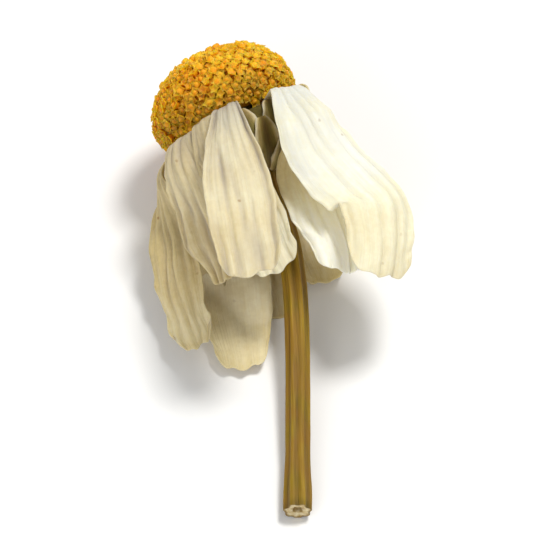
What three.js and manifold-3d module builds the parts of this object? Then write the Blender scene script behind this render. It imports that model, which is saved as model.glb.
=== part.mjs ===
// A dried chamomile flower as picked for tea: one head with its short stalk, lying on its side.
// Millimetres, +Z up. The floor is z = 0, and the origin is the middle of the flower's outline on it.
// The stalk runs towards -Y and the golden disc faces +Y, turned a little to the left and up.
// The rays are bent back round the stalk like a skirt, and the lowest of them lie pressed on the floor.
import * as THREE from "three";
import { mergeVertices } from "three/addons/utils/BufferGeometryUtils.js";
import Module from "manifold-3d";

// Pose of the head. Its centre is where its axis meets the back of the ring that holds the rays.
const HEAD_CENTRE = new THREE.Vector3(-1.64, 5.75, 3.73);
const HEAD_TURN = 27; // degrees from +Y to the left
const HEAD_RISE = 12; // degrees above level

// Disc: a low dome, set all over with florets.
const DISC_RADIUS = 2.82; // over the floret tips
const DISC_BASE = 1.2; // height of the dome's widest ring over the head's centre
const DISC_HEIGHT = 2.1; // from that ring to the top of the florets
const DISC_LOWEST = 108; // where the dome ends below that ring, in degrees from its top
const FLORET_LOWEST = 97; // and where its lowest florets stand
const CONE_RADIUS = 1.25; // of the receptacle that carries the disc, at its foot
const CONE_TIP_RADIUS = 0.16;
const CONE_TOP = 2.0;
const FLORET_COUNT = 160;
const FLORET_RADIUS = 0.25;
const FLORET_RISE = 0.38; // how far a floret stands out of the dome
const FLORET_ROOT = 0.45; // how deep it is sunk
const FLORET_FOOT = 0.7; // width of its foot, as a share of its greatest width
const FLORET_SHOULDER = 0.6; // where it is widest, as a share of its rise
const FLORET_SIDES = 5;
const DISC_SIDES = 24;
const GOLDEN_ANGLE = Math.PI * (3 - Math.sqrt(5));

// Rays: the white petals. The clock is the place of a root on the rim, in degrees from the top of the
// head and clockwise as seen from the stalk. Sweep carries a ray to the right, flare away from the axis
// and droop to the floor, each as a share of its length. The twist turns its face round its own line
// and the curl bends its last third inwards, both in degrees. One ray, at about 15 degrees, has fallen.
const RAYS = [
  { clock: -14, length: 8.5, width: 2.6, sweep: -0.31, flare: 0.15, droop: 0.02, twist: -8, curl: 10 },
  { clock: -32, length: 7.4, width: 2.5, sweep: 0.02, flare: -0.06, droop: 0.2, twist: -4, curl: 4 },
  { clock: -56, length: 6.9, width: 2.5, sweep: -0.11, flare: -0.02, droop: 0.16, twist: -16, curl: -6 },
  { clock: -93, length: 8.3, width: 2.2, sweep: -0.07, flare: 0.2, droop: 0.12, twist: -46, curl: 12 },
  { clock: -122, length: 6.3, width: 2.3, sweep: -0.06, flare: 0.02, droop: 0.1, twist: -8, curl: 0 },
  { clock: -146, length: 6.8, width: 2.5, sweep: -0.2, flare: 0.06, droop: 0.1, twist: 0, curl: 0 },
  { clock: -172, length: 10, width: 2.9, sweep: -0.34, flare: 0.1, droop: 0.1, twist: 0, curl: 4 },
  { clock: 162, length: 8.2, width: 2.3, sweep: -0.34, flare: 0.13, droop: 0.1, twist: 0, curl: -4 },
  { clock: 137, length: 7.4, width: 2.3, sweep: -0.26, flare: 0.06, droop: 0.1, twist: 0, curl: 0 },
  { clock: 106, length: 7, width: 2.4, sweep: -0.1, flare: 0.04, droop: 0.12, twist: 14, curl: 10 },
  { clock: 64, length: 8.7, width: 2.5, sweep: -0.46, flare: 0.12, droop: 0.06, twist: 48, curl: 8 },
  { clock: 36, length: 10.1, width: 3, sweep: 0.12, flare: 0.06, droop: 0.02, twist: 26, curl: 26 },
];
// Claw is the width of a ray at its root and taper what it loses to its tip, as shares of its width, and it
// is fully open by its openBy share. Its first mm, as many as straight says, aren't twisted. The roll bends
// its edges back, in degrees. A bow takes its middle aside by that many mm, most of all at its bowAt share,
// and a hook bends it sideways past its middle, in degrees.
// Most rays are plain in all this. The others stand by their place in the list above.
const PLAIN_RAY = {
  claw: 0.38, openBy: 0.5, taper: 0.24, straight: 2.5, roll: 18, bow: 0, bowAt: 0.4, hook: 0,
};
const SPECIAL_RAYS = {
  0: { claw: 0.3, openBy: 0.6, taper: 0.08 },
  1: { taper: 0.14 },
  2: { taper: 0.5, roll: 26 },
  3: { claw: 0.28, openBy: 0.34, taper: 0.5, straight: 1.4, roll: 34 },
  4: { taper: 0.5 },
  6: { taper: 0.3 },
  10: { taper: 0.2, bow: -0.9, bowAt: 0.5 },
  11: { claw: 0.5, openBy: 0.3, taper: 0.1, bow: -0.95, bowAt: 0.32, hook: -40 },
};
const RAY_THICKNESS = 0.6;
const RAY_BEND = 1.7; // length in which a ray turns from outwards to backwards
const RAY_TWIST = 2.6; // length in which it takes its twist
const RAY_CURL = { from: 0.63, span: 0.35 }; // where a ray curls, as shares of its length
const RAY_HOOK = { from: 0.6, span: 0.16 }; // and where a hooked ray bends
const RAY_TIP = { from: 0.72, corner: 0.08, notch: 0.02 }; // the tip, its cut corners and notches, as shares
const RAY_ROOT = 2.25; // distance of a root from the axis, inside the ring that holds it
const RAY_RING = { inner: 1.85, outer: 2.4, thickness: 0.5, sides: 26 };
const RAY_FOLD = 0.07; // height of the lengthwise folds
const RAY_FOLDED = 0.3; // they have this height from this share of a ray's length on
const RAY_LEVEL = 2.4; // a ray turns its face level from this height down to the floor
const RAY_LANDED = 0.05; // and runs on level once it is this close to where it lies
const RAY_FLAT = { from: 0.5, span: 0.4, loss: 0.85 }; // its folds flatten from this height down
const RAY_PRESS = 0.07; // what lies lower than this is pressed flat on the floor
const RAY_STACK = 0.3; // every second ray near the floor lies this much higher, on its neighbours
const RAY_STEPS = 40; // of its mid-line
const RAY_GRID = { across: 6, along: 9, growth: 1.25 }; // rows of points lie further apart towards the tip

// Involucre: the green cup under the head, with two rows of overlapping bracts.
const CUP_DEPTH = 2.05; // from the head's centre to the neck
const CUP_RIM = 0.28; // and to the rim
const CUP_RADIUS = 2.45;
const CUP_NECK = 0.75;
const CUP_SIDES = 26;
const BRACT_ROWS = [
  { count: 13, from: 0.1, to: 0.8, width: 0.9, lift: 0.24, offset: 0 },
  { count: 13, from: 0.3, to: 1.0, width: 0.85, lift: 0.12, offset: 0.5 },
];
const BRACT_THICKNESS = 0.6;
const BRACT_TURN = 0.12; // how much a bract curves round the cup
const BRACT_OUTLINE = { foot: 0.12, span: 0.8 }; // the part of a sine arch that gives its width
const BRACT_KEEL = { foot: 0.55, fall: 0.45 }; // its lift at its foot, and what its edges lose, as shares
const BRACT_GRID = { across: 4, along: 5 };

// Stalk: a slender ribbed stem, cut off square.
const STEM_RADIUS = 0.43;
const STEM_RIBS = 7;
const STEM_RIB_DEPTH = 0.09; // as a share of the radius
const STEM_SIDES = 21;
const STEM_STEPS = 22;
const STEM_REACH = 14.8; // how far the cut end lies behind the head's centre
const STEM_SHIFT = 2.2; // and how far to its right
const STEM_END_RADIUS = 0.5;
const STEM_FLARE = 0.8; // it widens to that radius from this share of its length on
const STEM_LEAVE = 3.6; // how far it keeps to the head's axis
const STEM_ARRIVE = new THREE.Vector3(0, 8.5, 0.6); // from its cut end back up along its last stretch
const STEM_SPIRAL = 0.9; // turn of its ribs from end to end, in radians
const STEM_NECK = { share: 0.08, growth: 0.5 }; // its thicker top

const CLEARANCE = 0.15; // between neighbouring pieces
const MERGE = 1e-4; // points closer than this are one

const wasm = await Module();
wasm.setup();

const radians = THREE.MathUtils.degToRad;
const UPWARDS = new THREE.Vector3(0, 0, 1);
const AXIS = new THREE.Vector3(
  -Math.sin(radians(HEAD_TURN)) * Math.cos(radians(HEAD_RISE)),
  Math.cos(radians(HEAD_TURN)) * Math.cos(radians(HEAD_RISE)),
  Math.sin(radians(HEAD_RISE)),
);
const RIGHT = new THREE.Vector3(Math.cos(radians(HEAD_TURN)), Math.sin(radians(HEAD_TURN)), 0);
const UP = new THREE.Vector3().crossVectors(RIGHT, AXIS);
const HEAD_POSE = new THREE.Quaternion().setFromRotationMatrix(
  new THREE.Matrix4().makeBasis(RIGHT, UP.clone().negate(), AXIS),
);

const smooth = (x) => THREE.MathUtils.smoothstep(x, 0, 1);

// Direction away from the head's axis at a clock angle in radians.
function outwards(clock) {
  return UP.clone().multiplyScalar(Math.cos(clock)).addScaledVector(RIGHT, Math.sin(clock));
}

function solidOf(geometry) {
  const plain = new THREE.BufferGeometry()
    .setAttribute("position", geometry.getAttribute("position"))
    .setIndex(geometry.index);
  const merged = mergeVertices(plain, MERGE);
  return new wasm.Manifold(
    new wasm.Mesh({
      numProp: 3,
      vertProperties: new Float32Array(merged.attributes.position.array),
      triVerts: new Uint32Array(merged.index.array),
    }),
  );
}

function geometryOf(solid) {
  const mesh = solid.getMesh();
  const geometry = new THREE.BufferGeometry()
    .setAttribute("position", new THREE.BufferAttribute(mesh.vertProperties, 3))
    .setIndex(new THREE.BufferAttribute(mesh.triVerts, 1));
  geometry.computeVertexNormals();
  return geometry;
}

// The union of overlapping shapes, with any pocket shut in between them filled.
function joined(geometries) {
  const shells = wasm.Manifold.union(geometries.map(solidOf)).decompose();
  return geometryOf(wasm.Manifold.union(shells.filter((shell) => shell.volume() > 0)));
}

// A closed blade. column(u, s) gives the pair of points on its two faces, with u from -1 to 1 across
// and s from 0 to 1 along. Both faces are split into triangles alike.
function blade(across, along, column) {
  const plane = new THREE.PlaneGeometry(2, 1, across, along);
  const flat = plane.getAttribute("position");
  const size = flat.count;
  const points = new Float32Array(size * 6);
  for (let i = 0; i < size; i++) {
    const [front, back] = column(flat.getX(i), flat.getY(i) + 0.5);
    front.toArray(points, i * 3);
    back.toArray(points, (size + i) * 3);
  }
  const face = Array.from(plane.index.array);
  const triangles = [...face];
  for (let i = 0; i < face.length; i += 3)
    triangles.push(size + face[i], size + face[i + 2], size + face[i + 1]);
  const wide = across + 1;
  const edge = [];
  for (let i = 0; i < across; i++) edge.push(i);
  for (let j = 0; j < along; j++) edge.push(j * wide + across);
  for (let i = across; i > 0; i--) edge.push(along * wide + i);
  for (let j = along; j > 0; j--) edge.push(j * wide);
  edge.forEach((a, i) => {
    const b = edge[(i + 1) % edge.length];
    triangles.push(a, b, a + size, b, b + size, a + size);
  });
  return new THREE.BufferGeometry()
    .setAttribute("position", new THREE.BufferAttribute(points, 3))
    .setIndex(triangles);
}

// Polar angles from the top of an ellipsoid dome that share its surface down to the lowest one evenly
// among count points.
function evenPolarAngles(count, radius, height, lowest) {
  const steps = 400;
  const area = [0];
  for (let i = 1; i <= steps; i++) {
    const polar = ((i - 0.5) / steps) * lowest;
    const slant = Math.hypot(radius * Math.cos(polar), height * Math.sin(polar));
    area.push(area[i - 1] + Math.sin(polar) * slant);
  }
  let step = 0;
  return Array.from({ length: count }, (_, i) => {
    const wanted = ((i + 0.5) / count) * area[steps];
    while (area[step + 1] < wanted) step++;
    const part = (wanted - area[step]) / (area[step + 1] - area[step]);
    return ((step + part) / steps) * lowest;
  });
}

// The disc in the head's own frame, where z runs along the axis. Its florets follow a golden-angle spiral.
function discGeometry() {
  const radius = DISC_RADIUS - FLORET_RISE;
  const height = DISC_HEIGHT - FLORET_RISE;
  const lowest = radians(DISC_LOWEST);
  const underside = DISC_BASE + height * Math.cos(lowest);
  const socketTop = CONE_TOP + 1.5 * CLEARANCE;
  const profile = [
    new THREE.Vector2(0, socketTop),
    new THREE.Vector2(CONE_TIP_RADIUS + CLEARANCE, socketTop),
    new THREE.Vector2(CONE_RADIUS + CLEARANCE, underside),
  ];
  const arcSteps = 8;
  for (let i = arcSteps; i >= 0; i--) {
    const polar = (i / arcSteps) * lowest;
    profile.push(new THREE.Vector2(radius * Math.sin(polar), DISC_BASE + height * Math.cos(polar)));
  }
  const dome = new THREE.LatheGeometry(profile, DISC_SIDES).rotateX(Math.PI / 2);
  const tube = [
    new THREE.Vector2(0, -FLORET_ROOT),
    new THREE.Vector2(FLORET_RADIUS * FLORET_FOOT, -FLORET_ROOT),
    new THREE.Vector2(FLORET_RADIUS, FLORET_RISE * FLORET_SHOULDER),
    new THREE.Vector2(0, FLORET_RISE),
  ];
  const floret = new THREE.LatheGeometry(tube, FLORET_SIDES);
  const florets = evenPolarAngles(FLORET_COUNT, radius, height, radians(FLORET_LOWEST)).map((polar, i) => {
    const round = i * GOLDEN_ANGLE;
    const normal = new THREE.Vector3(
      (Math.sin(polar) / radius) * Math.cos(round),
      (Math.sin(polar) / radius) * Math.sin(round),
      Math.cos(polar) / height,
    ).normalize();
    const aim = new THREE.Quaternion().setFromUnitVectors(new THREE.Vector3(0, 1, 0), normal);
    return floret
      .clone()
      .applyQuaternion(aim)
      .translate(
        radius * Math.sin(polar) * Math.cos(round),
        radius * Math.sin(polar) * Math.sin(round),
        DISC_BASE + height * Math.cos(polar),
      );
  });
  return joined([dome, ...florets]);
}

// The line of the cup's outside, from the neck at s = 0 to the rim at s = 1, in the head's own frame.
function cupLine(s) {
  const lift = s * (Math.PI / 2);
  return new THREE.Vector2(
    CUP_NECK + (CUP_RADIUS - CUP_NECK) * Math.sin(lift),
    -CUP_RIM - (CUP_DEPTH - CUP_RIM) * Math.cos(lift),
  );
}

// The green cup and its bracts, with the receptacle: it rises through the ring of rays, then as a cone
// into the socket of the disc, which it carries.
function involucreGeometry() {
  const lineSteps = 6;
  const bossRadius = RAY_RING.inner - CLEARANCE;
  const bossTop = RAY_RING.thickness;
  const profile = [
    new THREE.Vector2(0, -CUP_DEPTH),
    ...Array.from({ length: lineSteps + 1 }, (_, i) => cupLine(i / lineSteps)),
    new THREE.Vector2(bossRadius, -CUP_RIM),
    new THREE.Vector2(bossRadius, bossTop),
    new THREE.Vector2(CONE_RADIUS, bossTop),
    new THREE.Vector2(CONE_TIP_RADIUS, CONE_TOP),
    new THREE.Vector2(0, CONE_TOP),
  ];
  const cup = new THREE.LatheGeometry(profile, CUP_SIDES).rotateX(Math.PI / 2);
  const bracts = [];
  for (const row of BRACT_ROWS)
    for (let i = 0; i < row.count; i++)
      bracts.push(bractGeometry(row, ((i + row.offset) / row.count) * 2 * Math.PI));
  return joined([cup, ...bracts]);
}

// One bract: a narrow scale that lies on the cup, rounded at its tip, with its keel raised.
function bractGeometry(row, round) {
  const radial = new THREE.Vector3(Math.cos(round), Math.sin(round), 0);
  const sideways = new THREE.Vector3(-Math.sin(round), Math.cos(round), 0);
  return blade(BRACT_GRID.across, BRACT_GRID.along, (u, s) => {
    const at = row.from + (row.to - row.from) * s;
    const line = cupLine(at);
    const slope = cupLine(at + 0.01).sub(cupLine(at - 0.01)).normalize();
    const normal = radial.clone().multiplyScalar(slope.y).setZ(-slope.x);
    const arch = Math.sin(Math.PI * (BRACT_OUTLINE.foot + BRACT_OUTLINE.span * s));
    const aside = u * (row.width / 2) * Math.sqrt(arch);
    const keel = row.lift * THREE.MathUtils.lerp(BRACT_KEEL.foot, 1, s) * (1 - BRACT_KEEL.fall * u * u);
    const face = radial.clone().multiplyScalar(line.x - BRACT_TURN * aside ** 2).setZ(line.y);
    face.addScaledVector(sideways, aside).addScaledVector(normal, keel);
    return [face, face.clone().addScaledVector(normal, -BRACT_THICKNESS)];
  });
}

// The mid-line of a ray from its root: places, with the heading and the width direction at each.
function rayLine(ray, lowest) {
  const clock = radians(ray.clock);
  const out = outwards(clock);
  const back = AXIS.clone().negate().addScaledVector(RIGHT, ray.sweep);
  back.addScaledVector(out, ray.flare).addScaledVector(UPWARDS, -ray.droop).normalize();
  const place = HEAD_CENTRE.clone().addScaledVector(out, RAY_ROOT);
  place.addScaledVector(AXIS, RAY_RING.thickness / 2);
  const line = [];
  for (let i = 0; i <= RAY_STEPS; i++) {
    const run = (i / RAY_STEPS) * ray.length;
    const heading = out.clone().lerp(back, smooth(run / RAY_BEND)).normalize();
    const side = outwards(clock + Math.PI / 2);
    side.addScaledVector(heading, -side.dot(heading)).normalize();
    side.applyAxisAngle(heading, radians(ray.twist) * smooth((run - ray.straight) / RAY_TWIST));
    const curled = radians(ray.curl) * smooth((run / ray.length - RAY_CURL.from) / RAY_CURL.span);
    heading.applyAxisAngle(side, curled);
    const face = new THREE.Vector3().crossVectors(heading, side);
    const hooked = radians(ray.hook) * smooth((run / ray.length - RAY_HOOK.from) / RAY_HOOK.span);
    heading.applyAxisAngle(face, hooked);
    side.applyAxisAngle(face, hooked);
    if (place.z < lowest + RAY_LANDED && heading.z < 0) heading.setZ(0).normalize();
    const low = (RAY_LEVEL - place.z) / (RAY_LEVEL - RAY_RING.thickness);
    layFlat(side, heading, smooth(low) * smooth(run / RAY_BEND - 0.5));
    line.push({ place: place.clone(), heading, side });
    place.addScaledVector(heading, ray.length / RAY_STEPS);
    place.z = Math.max(place.z, lowest);
  }
  return line;
}

// Turns the width direction of a ray level, by a share from 0 to 1.
function layFlat(side, heading, share) {
  const level = new THREE.Vector3().crossVectors(heading, UPWARDS);
  if (level.length() < 0.2) return;
  if (level.dot(side) < 0) level.negate();
  side.lerp(level.normalize(), share);
  side.addScaledVector(heading, -side.dot(heading)).normalize();
}

// One ray: a narrow claw that widens to a strap with lengthwise folds and a blunt, three-toothed tip.
function rayGeometry(ray, index) {
  const lowest = RAY_THICKNESS / 2 + RAY_STACK * ((index + 1) % 2);
  const line = rayLine(ray, lowest);
  const roll = radians(ray.roll);
  return blade(RAY_GRID.across, RAY_GRID.along, (u, s) => {
    const notch = 0.5 - 0.5 * Math.cos(3 * Math.PI * u);
    const along = s ** RAY_GRID.growth;
    const at = along * (1 - (RAY_TIP.corner * u * u + RAY_TIP.notch * notch) * along ** 4) * RAY_STEPS;
    const step = Math.min(Math.floor(at), RAY_STEPS - 1);
    const [low, high] = line.slice(step, step + 2);
    const part = at - step;
    const heading = low.heading.clone().lerp(high.heading, part).normalize();
    const side = low.side.clone().lerp(high.side, part).normalize();
    const normal = new THREE.Vector3().crossVectors(heading, side).normalize();
    const opening = THREE.MathUtils.lerp(ray.claw, 1, smooth(along / ray.openBy));
    const tapered = 1 - ray.taper * smooth((along - RAY_TIP.from) / (1 - RAY_TIP.from));
    const half = (ray.width / 2) * opening * tapered;
    const opened = smooth(along / RAY_FOLDED);
    const wave = RAY_FOLD * (Math.cos(3 * Math.PI * u) + Math.sin(index + 6 * along + 1.5 * u));
    const middle = low.place.clone().lerp(high.place, part);
    const pressed = smooth((lowest + RAY_FLAT.from - middle.z) / RAY_FLAT.span);
    const aside = (half * Math.sin(roll * u)) / roll + bowed(ray, along);
    const relief = wave * (1 - RAY_FLAT.loss * pressed) - (half * (1 - Math.cos(roll * u))) / roll;
    middle.addScaledVector(side, aside).addScaledVector(normal, opened * relief);
    const face = middle.clone().addScaledVector(normal, RAY_THICKNESS / 2);
    const back = middle.clone().addScaledVector(normal, -RAY_THICKNESS / 2);
    const bottom = Math.min(face.z, back.z);
    if (bottom < RAY_PRESS) {
      face.z -= bottom;
      back.z -= bottom;
    }
    return [back, face];
  });
}

// How far a ray stands aside of its straight line at a share of its length.
function bowed(ray, share) {
  const past = (share - ray.bowAt) / (1 - ray.bowAt);
  return ray.bow * smooth(share / ray.bowAt) * (1 - smooth(past));
}

// All the rays, held together by the ring of their tubes.
function raysGeometry() {
  const { inner, outer, thickness } = RAY_RING;
  const profile = [
    new THREE.Vector2(inner, 0),
    new THREE.Vector2(outer, 0),
    new THREE.Vector2(outer, thickness),
    new THREE.Vector2(inner, thickness),
    new THREE.Vector2(inner, 0),
  ];
  const ring = new THREE.LatheGeometry(profile, RAY_RING.sides).rotateX(Math.PI / 2);
  ring.applyQuaternion(HEAD_POSE).translate(...HEAD_CENTRE.toArray());
  const rays = RAYS.map((ray, i) => rayGeometry({ ...PLAIN_RAY, ...ray, ...SPECIAL_RAYS[i] }, i));
  return joined([ring, ...rays]);
}

// The stalk: it leaves the neck along the axis and curves down to lie with its cut end on the floor.
function stemGeometry() {
  const start = HEAD_CENTRE.clone().addScaledVector(AXIS, -CUP_DEPTH - CLEARANCE);
  const end = new THREE.Vector3(STEM_SHIFT, -STEM_REACH, 0).add(HEAD_CENTRE);
  end.z = STEM_END_RADIUS;
  const leave = start.clone().addScaledVector(AXIS, -STEM_LEAVE);
  const arrive = end.clone().add(STEM_ARRIVE);
  const path = new THREE.CubicBezierCurve3(start, leave, arrive, end);
  const tube = new THREE.CylinderGeometry(1, 1, 1, STEM_SIDES, STEM_STEPS);
  const points = tube.getAttribute("position");
  for (let i = 0; i < points.count; i++) {
    const t = 0.5 - points.getY(i);
    const share = Math.hypot(points.getX(i), points.getZ(i));
    const round = Math.atan2(points.getX(i), points.getZ(i)) + STEM_SPIRAL * t;
    const radius = stemRadius(t, round) * share;
    const along = path.getTangentAt(t);
    const side = new THREE.Vector3().crossVectors(along, UPWARDS).normalize();
    const under = new THREE.Vector3().crossVectors(along, side);
    const point = path.getPointAt(t).addScaledVector(side, radius * Math.sin(round));
    point.addScaledVector(under, radius * Math.cos(round));
    points.setXYZ(i, point.x, point.y, Math.max(point.z, 0));
  }
  return geometryOf(solidOf(tube));
}

function stemRadius(t, round) {
  const neck = 1 + STEM_NECK.growth * (1 - smooth(t / STEM_NECK.share));
  const flared = smooth((t - STEM_FLARE) / (1 - STEM_FLARE));
  const flare = THREE.MathUtils.lerp(STEM_RADIUS, STEM_END_RADIUS, flared);
  return flare * neck * (1 + STEM_RIB_DEPTH * Math.cos(STEM_RIBS * round));
}

function piece(name, geometry, color, roughness) {
  const material = new THREE.MeshStandardMaterial({ color, roughness, metalness: 0 });
  const mesh = new THREE.Mesh(geometry, material);
  mesh.name = name;
  return mesh;
}

const head = new THREE.Group();
head.position.copy(HEAD_CENTRE);
head.quaternion.copy(HEAD_POSE);
head.add(piece("disc_florets", discGeometry(), 0xd9950f, 0.85));
head.add(piece("involucre", involucreGeometry(), 0xa59a52, 0.8));

const flower = new THREE.Group();
flower.add(head);
flower.add(piece("ray_petals", raysGeometry(), 0xf3ead0, 0.7));
flower.add(piece("stem", stemGeometry(), 0x857a33, 0.75));

export default flower;
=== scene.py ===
"""Looks of a dried chamomile flower that lies on its side.

Thin folded rays, several hundred florets, papery bracts and a ribbed stalk take the place of the plain
solids. Shapes are worked out in millimetres, in the flower's own frame, and made metres once, at the end.
"""

import math
import random

import bmesh
import bpy
from mathutils import Matrix, Quaternion, Vector, noise


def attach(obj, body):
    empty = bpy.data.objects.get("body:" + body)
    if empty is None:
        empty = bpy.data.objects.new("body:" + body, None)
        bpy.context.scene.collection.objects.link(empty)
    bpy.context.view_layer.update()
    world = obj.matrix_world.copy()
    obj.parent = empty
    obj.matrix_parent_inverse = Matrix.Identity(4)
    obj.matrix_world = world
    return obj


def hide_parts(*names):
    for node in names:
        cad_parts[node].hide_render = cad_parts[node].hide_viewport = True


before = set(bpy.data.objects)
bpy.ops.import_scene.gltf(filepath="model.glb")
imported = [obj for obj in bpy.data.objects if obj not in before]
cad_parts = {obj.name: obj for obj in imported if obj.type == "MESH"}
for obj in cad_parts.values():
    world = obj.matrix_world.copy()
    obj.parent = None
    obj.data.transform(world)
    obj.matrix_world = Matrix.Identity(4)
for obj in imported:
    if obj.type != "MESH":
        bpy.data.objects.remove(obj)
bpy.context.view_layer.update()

MM = 0.001  # metres in a millimetre
MERGE = 1e-4  # points closer than this are one
UPWARDS = Vector((0, 0, 1))
GOLDEN_ANGLE = math.pi * (3 - math.sqrt(5))

# ---------------------------------------------------------------- camera, in degrees and millimetres

VIEW_ELEVATION = 55
VIEW_TARGET = Vector((-0.19, 0.0, 2.5))
VIEW_WIDTH = 20.5
CAMERA_DISTANCE = 300
SENSOR_WIDTH = 36
LIGHT_DISTANCE = 300

# ---------------------------------------------------------------- head, as in the solids

HEAD_CENTRE = Vector((-1.64, 5.75, 3.73))  # where the axis meets the back of the ring that holds the rays
HEAD_TURN = math.radians(27)
HEAD_RISE = math.radians(12)
AXIS = Vector(
    (
        -math.sin(HEAD_TURN) * math.cos(HEAD_RISE),
        math.cos(HEAD_TURN) * math.cos(HEAD_RISE),
        math.sin(HEAD_RISE),
    )
)
RIGHT = Vector((math.cos(HEAD_TURN), math.sin(HEAD_TURN), 0))
UP = RIGHT.cross(AXIS)
HEAD_POSE = Matrix.Translation(HEAD_CENTRE) @ Matrix((RIGHT, -UP, AXIS)).transposed().to_4x4()

# ---------------------------------------------------------------- disc

DISC_RADIUS = 2.82  # over the floret tips
DISC_BASE = 1.2  # height of the widest ring over the head's centre
DISC_HEIGHT = 2.1  # from that ring to the top of the florets
DISC_LOWEST = 124  # polar angle of the lowest florets, in degrees from the top of the dome
DISC_STEPS = 14  # of the dome, from its lowest ring to its top
DISC_SIDES = 48
TUBE_FILL = 0.14  # the tubes stand so close that they fill the gaps up to this height
FLORET_COUNT = 640
FLORET_SEED = 11  # of their random sizes, leans and kinds
FLORET_RISE = 0.38  # how far a floret stands out of the dome
FLORET_RADIUS = 0.185
FLORET_ROOT = 0.22  # how deep a floret is sunk
FLORET_SIZES = (0.82, 1.12)
FLORET_BREADTHS = (0.88, 1.12)  # of its two diameters, so few are quite round
FLORET_LEAN = 0.18  # the most that it leans, as a share of its direction
FLORET_SLANT = 0.3  # the steepest slope of its top
FLORET_SIDES = 10
FLORET_LOBES = 5
OPEN_FROM = 48  # florets further down the dome than this polar angle, in degrees, have opened
OPEN_SPREAD = 0.12  # and how far that angle wanders, in radians
# How golden a floret is from 0 to 1, how far that varies, and what painted shade down its tube and in its
# throat, its olive tint, which is partly painted shade of the lower rim, and painted shade on the left side
# of the disc take off it.
GOLD = 0.96
GOLD_SPREAD = (-0.18, 0.1)
GOLD_PATCHES = 0.12
TUBE_SHADE = 0.12
BUD_THROAT_SHADE = 0.05
THROAT_SHADE = 0.1
OLIVE_AND_SHADE_LOSS = 0.12
LEFT_SHADE = 0.16
OLIVE_LOW = (76, 34)  # the polar angle in degrees from which florets turn olive, and over how many
OLIVE_LEFT = 0.3  # and how olive the left side is

# Rings of a floret from its foot to its middle: radius, height, and how far its lobes stand out. The
# middle is its height there, where an open floret shows the tip of its anthers, and the lip is the height
# of its sharp edge. A bud has none.
FLORETS = dict(
    bud=dict(
        rings=(
            (0.5, 0.0, 0.0), (0.74, 0.42, 0.0), (0.98, 0.72, 0.04), (0.84, 0.94, 0.08), (0.46, 1.04, 0.2),
        ),
        middle=0.96,
        lip=None,
    ),
    open=dict(
        rings=(
            (0.5, 0.0, 0.0), (0.6, 0.5, 0.0), (0.86, 0.8, 0.06),
            (1.16, 0.94, 0.22), (0.66, 0.8, 0.08), (0.32, 0.98, 0.0),
        ),
        middle=1.02,
        lip=0.94,
    ),
    withered=dict(
        rings=(
            (0.45, 0.0, 0.0), (0.5, 0.45, 0.1), (0.72, 0.7, 0.12), (0.88, 0.96, 0.26), (0.42, 0.86, 0.16),
        ),
        middle=0.78,
        lip=0.96,
    ),
)

# ---------------------------------------------------------------- rays

# The clock is the place of a root on the rim, in degrees from the top of the head and clockwise as seen
# from the stalk. Sweep carries a ray to the right, flare away from the axis and droop to the floor, each as
# a share of its length. The twist turns its face, the curl bends its last third inwards, the roll bends its
# edges back and the hook bends it sideways, all in degrees. Claw is its width at the root and taper what it
# loses to its tip, as shares of its width, and it is fully open by its open_by share. Its first mm, as many
# as straight says, aren't twisted. The bow takes its middle aside, in mm, most of all at its bow_at share.
# These values are those of the solids, but for the claw of the fourth ray, which is narrower than theirs
# can be, and the roll of the first. There are six more: fold is the depth of a ray's creases and rim the
# height of its curled edges in mm, wilt is how far it has browned, and fade how much more at its tip, grey
# is the strength of the grey painted shade over the ray, in its creases and at its claw, and knob how much
# its very tip widens.
PLAIN_RAY = dict(
    claw=0.38, open_by=0.5, taper=0.24, straight=2.5, roll=18, bow=0.0, bow_at=0.4, hook=0,
    fold=0.1, rim=0.0, wilt=0.55, fade=0.0, painted_grey=0.1, knob=0.0,
)
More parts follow.
